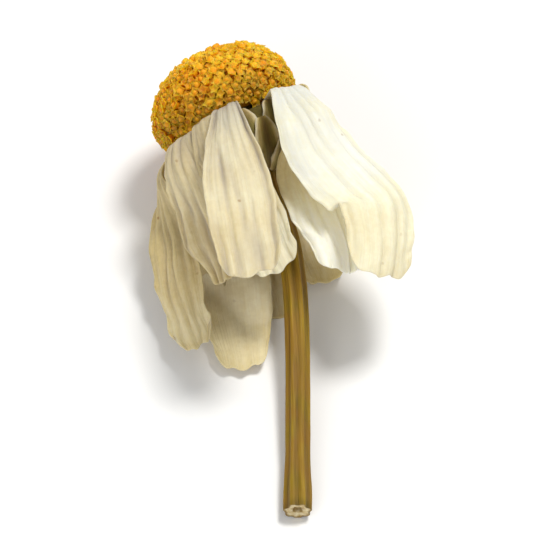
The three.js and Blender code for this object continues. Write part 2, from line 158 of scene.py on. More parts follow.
RAYS = (
    dict(clock=-14, length=8.5, width=2.6, sweep=-0.31, flare=0.15, droop=0.02, twist=-8, curl=10,
         claw=0.3, open_by=0.6, taper=0.08, roll=20, fold=0.15, rim=0.22, wilt=0.32, fade=0.06, painted_grey=0.8),
    dict(clock=-32, length=7.4, width=2.5, sweep=0.02, flare=-0.06, droop=0.2, twist=-4, curl=4,
         taper=0.14, wilt=0.56, fade=-0.34, painted_grey=0.4),
    dict(clock=-56, length=6.9, width=2.5, sweep=-0.11, flare=-0.02, droop=0.16, twist=-16, curl=-6,
         taper=0.5, roll=26, fold=0.17, wilt=0.52, painted_grey=0.6),
    dict(clock=-93, length=8.3, width=2.2, sweep=-0.07, flare=0.2, droop=0.12, twist=-46, curl=12,
         claw=0.16, open_by=0.34, taper=0.5, straight=1.4, roll=34, fold=0.15, rim=0.1, wilt=0.62, fade=-0.2,
         painted_grey=0.3, knob=0.5),
    dict(clock=-122, length=6.3, width=2.3, sweep=-0.06, flare=0.02, droop=0.1, twist=-8, curl=0, taper=0.5),
    dict(clock=-146, length=6.8, width=2.5, sweep=-0.2, flare=0.06, droop=0.1, twist=0, curl=0),
    dict(clock=-172, length=10.0, width=2.9, sweep=-0.34, flare=0.1, droop=0.1, twist=0, curl=4,
         taper=0.3, fold=0.13, wilt=0.32, fade=0.12),
    dict(clock=162, length=8.2, width=2.3, sweep=-0.34, flare=0.13, droop=0.1, twist=0, curl=-4, wilt=0.5),
    dict(clock=137, length=7.4, width=2.3, sweep=-0.26, flare=0.06, droop=0.1, twist=0, curl=0, wilt=0.45),
    dict(clock=106, length=7.0, width=2.4, sweep=-0.1, flare=0.04, droop=0.12, twist=14, curl=10),
    dict(clock=64, length=8.7, width=2.5, sweep=-0.46, flare=0.12, droop=0.06, twist=48, curl=8,
         taper=0.2, bow=-0.9, bow_at=0.5, fold=0.22, wilt=0.44, fade=-0.44, painted_grey=0.0),
    dict(clock=36, length=10.1, width=3.0, sweep=0.12, flare=0.06, droop=0.02, twist=26, curl=26,
         claw=0.5, open_by=0.3, taper=0.1, bow=-0.95, bow_at=0.32, hook=-40, fold=0.16, rim=-0.16, wilt=0.08,
         fade=0.16, painted_grey=0.3),
)
SOLID_RAY_THICKNESS = 0.6
RAY_THICKNESS = 0.07
RAY_BEND = 1.7  # length in which a ray turns from outwards to backwards
RAY_TWIST = 2.6  # length in which it takes its twist
RAY_ROOT = 2.25  # distance of a root from the axis
RING_THICKNESS = 0.5  # of the ring that holds the roots
RAY_LEVEL = 2.4  # a ray turns its face level from this height down to that of RING_THICKNESS
RAY_STEEP = 0.2  # but not where the level part of its heading is shorter than this
RAY_LANDED = 0.05  # and it runs on level once it is this close to where it lies
RAY_STACK = 0.3  # every second ray near the floor lies this much higher
RAY_LINE_STEPS = 40
RAY_GRID = (30, 80)
RAY_TUCK = 0.45  # how far a root reaches in under the florets
# Where things begin on a ray and over how much of it they grow, as shares of its length.
RAY_CURLS = (0.63, 0.35)
RAY_HOOKS = (0.6, 0.16)
RAY_TAPERS = (0.72, 0.28)
RAY_WIDENS = (0.0, 0.12)
RAY_UNTUCKS = (0.0, 0.08)
RAY_FOLDS = (0.0, 0.3)
RAY_LIFTS = (0.0, 0.35)  # from the inner to the outer skin of the solid ray
RAY_FOOT = 0.6  # its width where it begins to widen, as a share of the claw's
# Its tip, as shares of its length: how round it is, its cut corners, its notches and how uneven it is.
TIP_ROUND = 0.03
TIP_CORNER = 0.05
TIP_NOTCH = 0.01
TIP_UNEVEN = 0.015
KNOB = (0.95, 0.06)  # middle and spread of a tip that widens
EDGE_UNEVEN = 0.05  # of the edges, as a share of the width
RAY_CREASES = 5  # lengthwise, on each ray
CREASE_SPREAD = 0.11  # as a share of half its width, as is the next
CREASE_WANDER = 0.25
WAVE_DEPTH = 0.5  # of its long waves, as a share of the creases' depth
# Finer relief: depth in mm, bumps per mm across and along, and the step and start of the noise's seed.
CRUMPLES = (0.2, 0.6, 0.4, 3.7, 0)
PLEATS = (0.07, 4.5, 0.4, 5.1, 9)
WRINKLES = (0.03, 9, 1.6, 1.9, 4)
RIM = (0.7, 0.3)  # where its curled edges begin and how far they reach, as shares of half its width
RIM_WAVES = 0.12
PRESSED = (0.5, 0.4)  # its relief flattens from this height over where it lies, over this much,
PRESSED_LOSS = 0.6  # and loses this share
# Its tints: how much browner its margins and its root are, and how much painted shade greys its claw. With
# each comes where it begins and over how much it grows, or the share of the length at which it has ended.
EDGE_BROWN = 0.06
EDGE_BROWNS = (0.82, 0.18)  # across it, as shares of half its width
TIP_BROWNS = (0.94, 0.06)
ROOT_BROWN = 0.15
ROOT_BROWN_END = 0.16
RAY_FADES = (0.5, 0.4)
CLAW_SHADE = 0.8
CLAW_SHADE_END = 0.4

# ---------------------------------------------------------------- involucre

CUP_DEPTH = 2.05  # from the head's centre to the neck
CUP_RIM = 0.28  # and to the rim
CUP_RADIUS = 2.45
CUP_NECK = 0.75
CUP_STEPS = 12
CUP_SIDES = 52
SEAT_RADIUS = 1.7  # of the receptacle that fills the cup and reaches into the dome
SEAT_TOP = 0.55  # over the head's centre
BRACT_THICKNESS = 0.05
BRACT_GRID = (12, 20)
BRACT_OUTLINE = (0.12, 0.84)  # start and length of the part of a sine arch that gives its width
BRACT_CLAW = 0.45  # what the foot keeps of that width
BRACT_OPEN_BY = 0.3  # the share of its length from which it keeps it all
BRACT_TURN = 0.12  # how much it curves round the cup
BRACT_LIFT = (0.55, 0.45)  # share of its lift at its foot, and what its tip adds
BRACT_DIP = 0.25  # what its edges lose of its lift
BRACT_KEEL = 0.05  # height of its keel at its foot, in mm
BRACT_KEEL_SPREAD = 0.14  # as a share of half its width
BRACT_TORN = 0.1  # how uneven its edges are
BRACT_WAVES = 0.1  # of its margins, and the finer ones all over it
BRACT_WRINKLES = 0.02
BRACT_ROWS = (
    dict(count=13, start=0.08, end=0.84, width=1.12, lift=0.22, offset=0.0),
    dict(count=13, start=0.3, end=1.04, width=1.15, lift=0.1, offset=0.5),
    dict(count=9, start=0.0, end=0.52, width=0.82, lift=0.28, offset=0.3),
)

# ---------------------------------------------------------------- stalk

STEM_RADIUS = 0.43
STEM_RIBS = 7
STEM_RIB_DEPTH = 0.09  # as a share of the radius, as is the next
STEM_STREAK_DEPTH = 0.05
STEM_SIDES = 56
STEM_STEPS = 120
STEM_REACH = 14.8  # how far the cut end lies behind the head's centre
STEM_SHIFT = 2.2  # and how far to its right
STEM_SUNK = 0.1  # how deep its top is sunk in the cup
STEM_LEAVE = 3.6  # how far it keeps to the head's axis
STEM_ARRIVE = Vector((0, 8.5, 0.6))  # from its cut end back up along its last stretch
STEM_SPIRAL = 0.9  # turn of its ribs from end to end, in radians
STEM_NECK = (0.0, 0.08)  # where its thicker top thins, as shares of its length
STEM_NECK_GROWTH = 0.5  # how much thicker it is there
STEM_END_RADIUS = 0.5
STEM_FLARE = (0.8, 0.2)  # where it widens to that radius, as shares of its length
# How light the stalk is from 0 to 1, what its ribs and streaks add to that or take off it, and how much
# darker its neck and its cut are: with the share of its length at which the one ends, and where the other
# begins and over how much it grows.
STEM_LIGHT = 0.5
RIB_LIGHT = 0.13
STREAK_LIGHT = 0.2
NECK_DARK = 0.3
NECK_DARK_END = 0.06
CUT_DARK = 0.2
CUT_DARKENS = (0.97, 0.03)
# Rings of the cut end: share of the stalk's radius, depth in mm, and how much of it is pale pith.
CUT_RINGS = ((0.88, 0.0, 0.35), (0.8, 0.03, 1.0), (0.42, 0.06, 0.9), (0.3, 0.16, 0.3))


def smooth(x):
    """Smooth step from 0 to 1 over x = 0 to 1."""
    x = min(max(x, 0.0), 1.0)
    return x * x * (3 - 2 * x)


def rise(x, start, span):
    """Smooth step from 0 to 1 that begins at start and takes the span."""
    return smooth((x - start) / span)


def mix(a, b, share):
    """Value between a and b."""
    return a + (b - a) * share


def hump(x, middle, spread):
    """Bell curve of height 1."""
    return math.exp(-(((x - middle) / spread) ** 2))


def rough(x, y=0.0, z=0.0, octaves=3):
    """Fractal noise of about -1 to 1 at a point. It is the same in every run."""
    return noise.fractal(Vector((x, y, z)), 0.9, 2.0, octaves)


def outwards(clock):
    """Direction away from the head's axis, with the clock angle from its top, clockwise from the stalk."""
    return UP * math.cos(clock) + RIGHT * math.sin(clock)


# ---------------------------------------------------------------- node helpers


def colour(code):
    """Linear RGBA of an sRGB hex code."""
    parts = [((code >> shift) & 255) / 255 for shift in (16, 8, 0)]
    linear = [c / 12.92 if c <= 0.04045 else ((c + 0.055) / 1.055) ** 2.4 for c in parts]
    return (*linear, 1.0)


def feed(tree, socket, value):
    """Links a socket to another, or gives it a fixed value."""
    if isinstance(value, bpy.types.NodeSocket):
        tree.links.new(value, socket)
    else:
        socket.default_value = value


def add(tree, kind, inputs=None, **settings):
    """New shader node with its inputs and settings."""
    made = tree.nodes.new("ShaderNode" + kind)
    for name, setting in settings.items():
        setattr(made, name, setting)
    for name, value in (inputs or {}).items():
        feed(tree, made.inputs[name], value)
    return made


def maths(tree, operation, *values, clamp=False):
    """Result of a Math node."""
    made = add(tree, "Math", operation=operation, use_clamp=clamp)
    for socket, value in zip(made.inputs, values):
        feed(tree, socket, value)
    return made.outputs[0]


def ramp(tree, factor, stops):
    """Colour ramp through (position, hex code) stops."""
    made = add(tree, "ValToRGB", {"Fac": factor})
    elements = made.color_ramp.elements
    elements[0].position, elements[1].position = stops[0][0], stops[-1][0]
    elements[0].color, elements[1].color = colour(stops[0][1]), colour(stops[-1][1])
    for position, code in stops[1:-1]:
        elements.new(position).color = colour(code)
    return made.outputs["Color"]


def around(tree, value, depth, base, clamp=False):
    """Base with a value of 0 to 1 added round its middle, to that depth."""
    return maths(tree, "MULTIPLY_ADD", maths(tree, "SUBTRACT", value, 0.5), depth, base, clamp=clamp)


def blend(tree, factor, first, second):
    """Colour that goes from the first to the second with the factor."""
    made = add(tree, "Mix", data_type="RGBA")
    factor_input, first_input, second_input = (made.inputs[i] for i in (0, 6, 7))
    feed(tree, factor_input, factor)
    feed(tree, first_input, first)
    feed(tree, second_input, second)
    return made.outputs[2]


def attribute(tree, name):
    """Value of a mesh attribute."""
    return add(tree, "Attribute", attribute_name=name).outputs["Fac"]


def new_group(name, inputs, outputs):
    """Empty node group with (label, socket kind, value) inputs and (label, socket kind) outputs."""
    tree = bpy.data.node_groups.new(name, "ShaderNodeTree")
    for label, kind, value in inputs:
        socket = tree.interface.new_socket(label, in_out="INPUT", socket_type="NodeSocket" + kind)
        if value is not None:
            socket.default_value = value
    for label, kind in outputs:
        tree.interface.new_socket(label, in_out="OUTPUT", socket_type="NodeSocket" + kind)
    return tree, tree.nodes.new("NodeGroupInput"), tree.nodes.new("NodeGroupOutput")


def place_group(tree, group, inputs):
    """Node of a shared group with its inputs."""
    made = add(tree, "Group", node_tree=group)
    for name, value in inputs.items():
        feed(tree, made.inputs[name], value)
    return made


def mottle_group():
    """Uneven drying: soft patches of 0 to 1."""
    inputs = [("Vector", "Vector", None), ("Scale", "Float", 900.0), ("Contrast", "Float", 0.5)]
    tree, given, result = new_group("uneven_drying", inputs, [("Mask", "Float")])
    patches = add(tree, "TexNoise", {
        "Vector": given.outputs["Vector"], "Scale": given.outputs["Scale"], "Detail": 3.0, "Roughness": 0.45,
    })
    low = maths(tree, "MULTIPLY_ADD", given.outputs["Contrast"], 0.4, 0.1)
    high = maths(tree, "SUBTRACT", 1.0, low)
    span = add(tree, "MapRange", {"Value": patches.outputs[0], "From Min": low, "From Max": high})
    feed(tree, result.inputs["Mask"], span.outputs[0])
    return tree


def fibre_group():
    """Fine parallel lines along V of a UV map: a height of 0 to 1."""
    inputs = [
        ("UV", "Vector", None), ("Lines", "Float", 14.0), ("Stretch", "Float", 1.5), ("Seed", "Float", 0.0),
    ]
    tree, given, result = new_group("fine_fibres", inputs, [("Height", "Float")])
    spread = add(tree, "CombineXYZ", {
        "X": given.outputs["Lines"], "Y": given.outputs["Stretch"], "Z": 1.0,
    })
    scaled = add(tree, "VectorMath", operation="MULTIPLY")
    feed(tree, scaled.inputs[0], given.outputs["UV"])
    feed(tree, scaled.inputs[1], spread.outputs[0])
    lines = add(tree, "TexNoise", {
        "Vector": scaled.outputs[0],
        "W": given.outputs["Seed"],
        "Scale": 1.0,
        "Detail": 3.0,
        "Roughness": 0.65,
    }, noise_dimensions="4D")
    feed(tree, result.inputs["Height"], lines.outputs[0])
    return tree


def crinkle_group():
    """Small dry wrinkles: a height of 0 to 1."""
    inputs = [("Vector", "Vector", None), ("Scale", "Float", 2500.0)]
    tree, given, result = new_group("dry_wrinkles", inputs, [("Height", "Float")])
    warp = add(tree, "TexNoise", {
        "Vector": given.outputs["Vector"], "Scale": given.outputs["Scale"], "Detail": 2.0,
    })
    cells = add(tree, "TexVoronoi", {
        "Vector": given.outputs["Vector"], "Scale": given.outputs["Scale"], "Smoothness": 0.4,
    }, feature="SMOOTH_F1")
    height = maths(tree, "MULTIPLY_ADD", cells.outputs["Distance"], 0.6, warp.outputs[0])
    feed(tree, result.inputs["Height"], maths(tree, "MULTIPLY", height, 0.6))
    return tree


def spot_group():
    """Small spots far apart, some stronger than others: a mask of 0 to 1."""
    inputs = [("Vector", "Vector", None), ("Scale", "Float", 1300.0)]
    tree, given, result = new_group("brown_spots", inputs, [("Mask", "Float")])
    warp = add(tree, "TexNoise", {"Vector": given.outputs["Vector"], "Scale": 9000.0, "Detail": 2.0})
    cells = add(tree, "TexVoronoi", {"Vector": given.outputs["Vector"], "Scale": given.outputs["Scale"]})
    reach = maths(tree, "MULTIPLY_ADD", warp.outputs[0], 0.1, cells.outputs["Distance"])
    spot = add(tree, "MapRange", {
        "Value": reach, "From Min": 0.09, "From Max": 0.16, "To Min": 1.0, "To Max": 0.0,
    }).outputs[0]
    chance = add(tree, "SeparateXYZ", {"Vector": cells.outputs["Color"]}).outputs["X"]
    rare = add(tree, "MapRange", {
        "Value": chance, "From Min": 0.55, "From Max": 1.0, "To Max": 0.7,
    }).outputs[0]
    feed(tree, result.inputs["Mask"], maths(tree, "MULTIPLY", spot, rare))
    return tree


def new_material(name, roughness, specular, scatter=0.0, scatter_radius=(1, 1, 1)):
    """Material with its Principled BSDF. The scatter radius is in millimetres."""
    material = bpy.data.materials.new(name)
    material.use_nodes = True
    shader = material.node_tree.nodes["Principled BSDF"]
    shader.inputs["Roughness"].default_value = roughness
    shader.inputs["Specular IOR Level"].default_value = specular
    shader.inputs["Subsurface Weight"].default_value = scatter
    shader.inputs["Subsurface Radius"].default_value = scatter_radius
    shader.inputs["Subsurface Scale"].default_value = MM
    return material, material.node_tree, shader


def bump(tree, height, depth):
    """Normal from a height of 0 to 1 that stands for depth in millimetres."""
    return add(tree, "Bump", {"Height": height, "Distance": depth * MM, "Strength": 1.0}).outputs[0]


UNEVEN_DRYING = mottle_group()
FINE_FIBRES = fibre_group()
DRY_WRINKLES = crinkle_group()
BROWN_SPOTS = spot_group()


def patches_of(tree, place, scale, contrast):
    """Mask of uneven drying at that scale."""
    inputs = {"Vector": place, "Scale": scale, "Contrast": contrast}
    return place_group(tree, UNEVEN_DRYING, inputs).outputs[0]


def ray_material():
    """Papery cream rays with fine veins, a few brown spots and browning, and grey painted shade in creases
    and claws.
    """
    material, tree, shader = new_material(
        "dry_ray", roughness=0.58, specular=0.3, scatter=0.4, scatter_radius=(0.5, 0.42, 0.25)
    )
    place = add(tree, "TexCoord").outputs["Object"]
    strap = add(tree, "UVMap", uv_map="strap").outputs[0]
    patches = patches_of(tree, place, scale=450.0, contrast=0.5)
    specks = patches_of(tree, place, scale=5000.0, contrast=0.9)
    fibres = place_group(tree, FINE_FIBRES, {"UV": strap, "Lines": 30.0, "Stretch": 2.0}).outputs[0]
    age = around(tree, patches, 0.18, attribute(tree, "wilt"))
    age = around(tree, fibres, 0.24, age)
    age = around(tree, specks, 0.03, age, clamp=True)
    tone = ramp(tree, age, (
        (0.0, 0xFFFCE6), (0.15, 0xFFF7D2), (0.35, 0xEEDCB0),
        (0.55, 0xD6BE88), (0.75, 0xB09C68), (1.0, 0x7A5A30),
    ))
    # Painted shade: grey in the creases and at the claw, and a little over the whole ray, by its grey value.
    painted_shade_depth = maths(tree, "MULTIPLY", attribute(tree, "crease_and_claw_shade"), attribute(tree, "painted_grey"), clamp=True)
    grey_shade = maths(tree, "MULTIPLY_ADD", attribute(tree, "painted_grey"), 0.3, painted_shade_depth, clamp=True)
    shaded_tone = blend(tree, grey_shade, tone, colour(0x9C948C))
    spots = place_group(tree, BROWN_SPOTS, {"Vector": place, "Scale": 1300.0}).outputs[0]
    feed(tree, shader.inputs["Base Color"], blend(tree, spots, shaded_tone, colour(0x8A5E30)))
    wrinkles = place_group(tree, DRY_WRINKLES, {"Vector": place, "Scale": 2200.0}).outputs[0]
    height = maths(tree, "MULTIPLY_ADD", wrinkles, 1.0, maths(tree, "MULTIPLY", fibres, 0.6))
    feed(tree, shader.inputs["Normal"], bump(tree, height, 0.07))
    return material


def floret_material():
    """Golden florets, amber where they are less golden and where painted shade darkens them, olive by their
    attribute.
    """
    material, tree, shader = new_material(
        "dry_floret", roughness=0.55, specular=0.3, scatter=0.7, scatter_radius=(0.3, 0.17, 0.05)
    )
    place = add(tree, "TexCoord").outputs["Object"]
    patches = patches_of(tree, place, scale=2200.0, contrast=0.6)
    # The gold attribute holds painted shade as well as the florets' own gold.
    tone = around(tree, patches, 0.35, attribute(tree, "gold_and_shade"))
    tone = ramp(tree, maths(tree, "MAXIMUM", tone, 0.0), (
        (0.0, 0x6B3A06), (0.25, 0xB26A06), (0.5, 0xF49608), (0.75, 0xFFAA0C), (1.0, 0xFFBE1E),
    ))
    green = maths(tree, "MULTIPLY", attribute(tree, "olive"), 0.7)
    feed(tree, shader.inputs["Base Color"], blend(tree, green, tone, colour(0x90700C)))
    wrinkles = place_group(tree, DRY_WRINKLES, {"Vector": place, "Scale": 7000.0}).outputs[0]
    feed(tree, shader.inputs["Normal"], bump(tree, wrinkles, 0.03))
    return material


def bract_material():
    """Bracts with an olive-brown middle, pale membranous margins and a few brown spots."""
    material, tree, shader = new_material(
        "dry_bract", roughness=0.6, specular=0.35, scatter=0.15, scatter_radius=(0.3, 0.25, 0.1)
    )
    place = add(tree, "TexCoord").outputs["Object"]
    strap = add(tree, "UVMap", uv_map="strap").outputs[0]
    across = add(tree, "SeparateXYZ", {"Vector": strap}).outputs["X"]
    aside = maths(tree, "ABSOLUTE", maths(tree, "MULTIPLY_ADD", across, 2.0, -1.0))
    fibres = place_group(tree, FINE_FIBRES, {"UV": strap, "Lines": 14.0, "Stretch": 2.5}).outputs[0]
    tone = ramp(tree, around(tree, fibres, 0.6, aside), (
        (0.0, 0x504818), (0.22, 0x6E6228), (0.42, 0x8C7E3E),
        (0.62, 0xBEAA6E), (0.8, 0xE2D3A6), (1.0, 0xF0E5C6),
    ))
    patches = patches_of(tree, place, scale=1500.0, contrast=0.7)
    aged = blend(tree, maths(tree, "MULTIPLY", patches, 0.45), tone, colour(0x84602C))
    spots = place_group(tree, BROWN_SPOTS, {"Vector": place, "Scale": 1900.0}).outputs[0]
    feed(tree, shader.inputs["Base Color"], blend(tree, spots, aged, colour(0x5E4018)))
    feed(tree, shader.inputs["Normal"], bump(tree, fibres, 0.05))
    return material


def stalk_material():
    """Olive stalk with paler ribs and brown patches, and with pale pith where it is cut."""
    material, tree, shader = new_material(
        "dry_stalk", roughness=0.55, specular=0.25, scatter=0.05, scatter_radius=(0.2, 0.15, 0.05)
    )
    place = add(tree, "TexCoord").outputs["Object"]
    strap = add(tree, "UVMap", uv_map="strap").outputs[0]
    fibres = place_group(tree, FINE_FIBRES, {"UV": strap, "Lines": 40.0, "Stretch": 4.0}).outputs[0]
    patches = patches_of(tree, place, scale=900.0, contrast=0.7)
    light = around(tree, fibres, 0.8, attribute(tree, "rib"))
    tone = ramp(tree, light, ((0.0, 0x463808), (0.45, 0x7C620C), (0.75, 0xA08018), (1.0, 0xC4A63A)))
    aged = blend(tree, maths(tree, "MULTIPLY", patches, 0.4), tone, colour(0x8A5A22))
    specks = patches_of(tree, place, scale=7000.0, contrast=0.5)
    pale = ramp(tree, specks, ((0.0, 0xA88A50), (0.4, 0xD0BA8A), (1.0, 0xEBDDB8)))
    feed(tree, shader.inputs["Base Color"], blend(tree, attribute(tree, "pith"), aged, pale))
    feed(tree, shader.inputs["Normal"], bump(tree, fibres, 0.04))
    return material


def under_material(name, code):
    """Dry tissue that shows between the florets or the bracts, in places 0.45 as light as its colour."""
    material, tree, shader = new_material(name, roughness=0.8, specular=0.2)
    place = add(tree, "TexCoord").outputs["Object"]
    patches = patches_of(tree, place, scale=2000.0, contrast=0.7)
    dark = tuple(0.45 * c for c in colour(code)[:3])
    feed(tree, shader.inputs["Base Color"], blend(tree, patches, colour(code), (*dark, 1.0)))
    feed(tree, shader.inputs["Normal"], bump(tree, patches, 0.08))
    return material


# ---------------------------------------------------------------- mesh helpers


def new_sheet(across, along):
    """Flat grid from -1 to 1 with its UV map."""
    bm = bmesh.new()
    bm.loops.layers.uv.new("strap")
    bmesh.ops.create_grid(bm, x_segments=across, y_segments=along, size=1, calc_uvs=True)
    return bm


def lathe(profile, steps):
    """Closed body turned about Z from a profile that starts and ends on the axis."""
    bm = bmesh.new()
    verts = [bm.verts.new((x, 0, z)) for x, z in profile]
    edges = [bm.edges.new(pair) for pair in zip(verts, verts[1:])]
    bmesh.ops.spin(
        bm,
        geom=verts + edges,
        cent=(0, 0, 0),
        axis=(0, 0, 1),
        angle=2 * math.pi,
        steps=steps,
        use_merge=True,
    )
    bmesh.ops.remove_doubles(bm, verts=bm.verts, dist=MERGE)
    bmesh.ops.recalc_face_normals(bm, faces=bm.faces)
    return bm


def shown_piece(bm, name, node, material):
    """Makes a bmesh in millimetres a smooth piece in metres that stands for a CAD node."""
    bmesh.ops.scale(bm, vec=(MM, MM, MM), verts=bm.verts)
    for face in bm.faces:
        face.smooth = True
    mesh = bpy.data.meshes.new(name)
    bm.to_mesh(mesh)
    bm.free()
    mesh.materials.append(material)
    piece = bpy.data.objects.new(name, mesh)
    bpy.context.scene.collection.objects.link(piece)
    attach(piece, "root")
    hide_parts(node)
    return piece


def thicken(piece, thickness):
    """Gives a sheet its thickness, then rounds it."""
    wall = piece.modifiers.new("thickness", "SOLIDIFY")
    wall.thickness = thickness * MM
    wall.offset = 0
    finer = piece.modifiers.new("finer", "SUBSURF")
    finer.levels = 1
    finer.render_levels = 1


# ---------------------------------------------------------------- rays


def lay_flat(side, heading, share):
    """Turns the width direction of a ray level, by a share from 0 to 1."""
    level = heading.cross(UPWARDS)
    if level.length < RAY_STEEP:
        return side
    if level.dot(side) < 0:
        level.negate()
    side = side.lerp(level.normalized(), share)
    return (side - heading * side.dot(heading)).normalized()


def ray_line(ray, lowest):
    """Mid-line of a ray from its root: places, each with the heading and the width direction there."""
    clock = math.radians(ray["clock"])
    out = outwards(clock)
    back = (-AXIS + RIGHT * ray["sweep"] + out * ray["flare"] - UPWARDS * ray["droop"]).normalized()
    place = HEAD_CENTRE + out * RAY_ROOT + AXIS * (RING_THICKNESS / 2)
    line = []
    for i in range(RAY_LINE_STEPS + 1):
        share = i / RAY_LINE_STEPS
        run = share * ray["length"]
        heading = out.lerp(back, smooth(run / RAY_BEND)).normalized()
        side = outwards(clock + math.pi / 2)
        side = (side - heading * side.dot(heading)).normalized()
        twisted = math.radians(ray["twist"]) * rise(run, ray["straight"], RAY_TWIST)
        side.rotate(Quaternion(heading, twisted))
        curled = math.radians(ray["curl"]) * rise(share, *RAY_CURLS)
        heading.rotate(Quaternion(side, curled))
        hooked = math.radians(ray["hook"]) * rise(share, *RAY_HOOKS)
        turn = Quaternion(heading.cross(side), hooked)
        heading.rotate(turn)
        side.rotate(turn)
        if place.z < lowest + RAY_LANDED and heading.z < 0:
            heading.z = 0
            heading.normalize()
        low = smooth((RAY_LEVEL - place.z) / (RAY_LEVEL - RING_THICKNESS))
        side = lay_flat(side, heading, low * smooth(run / RAY_BEND - 0.5))
        line.append((place.copy(), heading, side))
        place = place + heading * (ray["length"] / RAY_LINE_STEPS)
        place.z = max(place.z, lowest)
    return line


def on_line(line, at):
    """Place, heading and width direction at a share of a ray's line."""
    step = min(int(at * RAY_LINE_STEPS), RAY_LINE_STEPS - 1)
    part = at * RAY_LINE_STEPS - step
    low, high = line[step], line[step + 1]
    return (
        low[0].lerp(high[0], part),
        low[1].lerp(high[1], part).normalized(),
        low[2].lerp(high[2], part).normalized(),
    )


def bowed(ray, s):
    """How far a ray stands aside of its straight line, most of all at its bow_at share, in mm."""
    crest = ray["bow_at"]
    return ray["bow"] * smooth(s / crest) * (1 - rise(s, crest, 1 - crest))


def ray_folds(ray, index, u, s):
    """Height of a ray's creases and crumples over its smooth form, and how deep in a crease it is for
    painted shade.
    """
    creases = 0.0
    for number in range(RAY_CREASES):
        even = (number + 0.5) / RAY_CREASES * 2 - 1
        middle = even + CREASE_WANDER * rough(number * 4.1, index * 2.7, s * 1.4, 2)
        depth = max(0.7 + 1.3 * rough(number * 2.9 + 5, index * 3.1, s * 2.4, 2), 0)
        creases += depth * hump(u, middle, CREASE_SPREAD)
    wide = u * ray["width"] / 2
    far = s * ray["length"]
    waves = WAVE_DEPTH * ray["fold"] * math.sin(index + 5 * s + 2.2 * u)
    crumple, pleats, fine = (
        depth * rough(wide * across, far * along, index * step + start, 2)
        for depth, across, along, step, start in (CRUMPLES, PLEATS, WRINKLES)
    )
    wavy = ray["rim"] + RIM_WAVES * rough(far * 1.3, 5 if u > 0 else 11, index * 2.2, 2)
    margin = rise(abs(u), *RIM) * wavy
    height = waves + crumple + pleats + fine + margin - ray["fold"] * creases
    return height, min(max(0.6 * creases - 5 * pleats, 0), 1)


def ray_piece(ray, index, material):
    """One ray: a narrow claw that widens to a folded strap with a blunt, three-toothed tip."""
    lowest = SOLID_RAY_THICKNESS / 2 + RAY_STACK * ((index + 1) % 2)
    line = ray_line(ray, lowest)
    bm = new_sheet(*RAY_GRID)
    wilt = bm.verts.layers.float.new("wilt")
    crease_and_claw_shade = bm.verts.layers.float.new("crease_and_claw_shade")
    painted_grey = bm.verts.layers.float.new("painted_grey")
    roll = math.radians(ray["roll"])
    skin = (SOLID_RAY_THICKNESS - RAY_THICKNESS) / 2  # the thin ray lies in the outer skin of the solid one
    out = outwards(math.radians(ray["clock"]))
    for vert in bm.verts:
        u, s = vert.co.x, (vert.co.y + 1) / 2
        notch = TIP_NOTCH * (0.5 - 0.5 * math.cos(3 * math.pi * u))
        uneven = TIP_UNEVEN * rough(u * 1.4, index * 4.4, 0, 2)
        short = TIP_ROUND * u * u + TIP_CORNER * u**6 + notch + uneven
        at = s * (1 - short * s**4)
        middle, heading, side = on_line(line, at)
        normal = heading.cross(side).normalized()
        opening = mix(ray["claw"], 1, smooth(s / ray["open_by"]))
        half = ray["width"] / 2 * opening * (1 - ray["taper"] * rise(s, *RAY_TAPERS))
        half *= 1 + EDGE_UNEVEN * rough(s * 7, index * 2.3, 4 if u > 0 else 8)
        half *= mix(RAY_FOOT, 1, rise(s, *RAY_WIDENS))
        half *= 1 + ray["knob"] * hump(s, *KNOB)
        opened = rise(s, *RAY_FOLDS)
        lift = skin * (2 * rise(s, *RAY_LIFTS) - 1)
        folds, painted_shade_depth = ray_folds(ray, index, u, s)
        pressed = smooth((lowest + PRESSED[0] - middle.z) / PRESSED[1])
        aside = half * math.sin(roll * u) / roll + bowed(ray, s)
        tucked = RAY_TUCK * (1 - rise(s, *RAY_UNTUCKS))
        relief = folds * (1 - PRESSED_LOSS * pressed) - half * (1 - math.cos(roll * u)) / roll
        vert.co = middle + side * aside + normal * (opened * relief + lift) - out * tucked
        vert.co.z = max(vert.co.z, RAY_THICKNESS / 2)
        edge = rise(abs(u), *EDGE_BROWNS) + rise(s, *TIP_BROWNS)
        root = 1 - smooth(s / ROOT_BROWN_END)
        fade = ray["fade"] * rise(s, *RAY_FADES)
        vert[wilt] = ray["wilt"] + fade + EDGE_BROWN * edge + ROOT_BROWN * root
        # Painted shade in the creases and at the claw, where it runs in under the florets.
        vert[crease_and_claw_shade] = painted_shade_depth * opened + CLAW_SHADE * (1 - smooth(s / CLAW_SHADE_END))
        vert[painted_grey] = ray["painted_grey"]
    piece = shown_piece(bm, f"ray_{index + 1}", "ray_petals", material)
    thicken(piece, RAY_THICKNESS)


# ---------------------------------------------------------------- disc


def even_polar_angles(count, radius, height, lowest):
    """Polar angles from the top of an ellipsoid dome that share its surface evenly among count points."""
    steps = 400
    area = [0.0]
    for i in range(steps):
        polar = (i + 0.5) / steps * lowest
        slant = math.hypot(radius * math.cos(polar), height * math.sin(polar))
        area.append(area[-1] + math.sin(polar) * slant)
    angles = []
    step = 0
    for i in range(count):
        wanted = (i + 0.5) / count * area[-1]
        while area[step + 1] < wanted:
            step += 1
        part = (wanted - area[step]) / (area[step + 1] - area[step])
        angles.append((step + part) / steps * lowest)
    return angles


